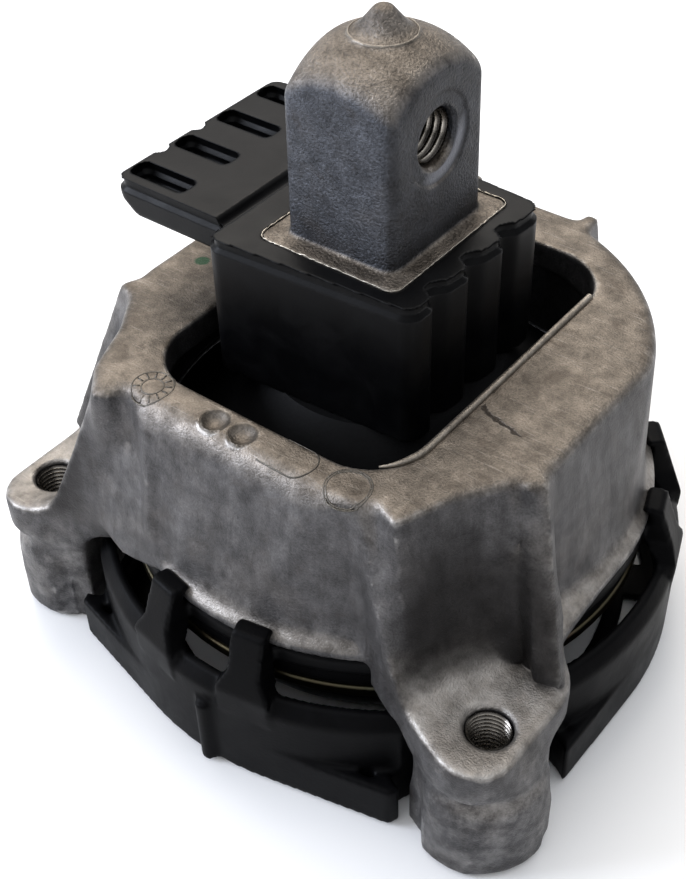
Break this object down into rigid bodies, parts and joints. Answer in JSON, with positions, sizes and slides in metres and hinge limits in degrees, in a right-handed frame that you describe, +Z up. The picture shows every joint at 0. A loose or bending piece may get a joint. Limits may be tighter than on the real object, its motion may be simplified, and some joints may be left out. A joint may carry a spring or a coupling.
{
  "type": "hydraulic engine mount",
  "caption": "Hydraulic engine mount with windowed cast housing on three threaded feet, domed post with threaded cross hole, a rubber stop cap, a clamped fluid unit and a clip-on plastic ring.",
  "frame": {"origin": "on the axis of the fluid unit, on the plane of the three feet's bottom faces", "axes": "+Z up along the unit's axis towards the post, +X along the post's threaded cross hole out of its mouth, the two front feet at -Y and the third foot at +Y"},
  "size_m": [0.1426, 0.1651, 0.153],
  "materials": {
    "housing": "die-cast, blasted, worn edges",
    "core": "die-cast, grainy",
    "stop_cap": "moulded, satin",
    "main_spring": "moulded, matt",
    "spring_ring": "pressed sheet",
    "clamp_ring": "yellow zinc plated",
    "channel_upper": "die-cast",
    "channel_lower": "die-cast",
    "membrane": "moulded, matt",
    "bellows": "moulded, matt",
    "pan": "black coated sheet",
    "guard_ring": "injection moulded, black"
  },
  "bodies": {
    "root": {"housing": "housing", "core": "core", "stop_cap": "stop_cap", "main_spring": "main_spring", "spring_ring": "spring_ring", "clamp_ring": "clamp_ring", "channel_upper": "channel_upper", "channel_lower": "channel_lower", "membrane": "membrane", "bellows": "bellows", "pan": "pan", "guard_ring": "guard_ring"}
  },
  "joints": []
}
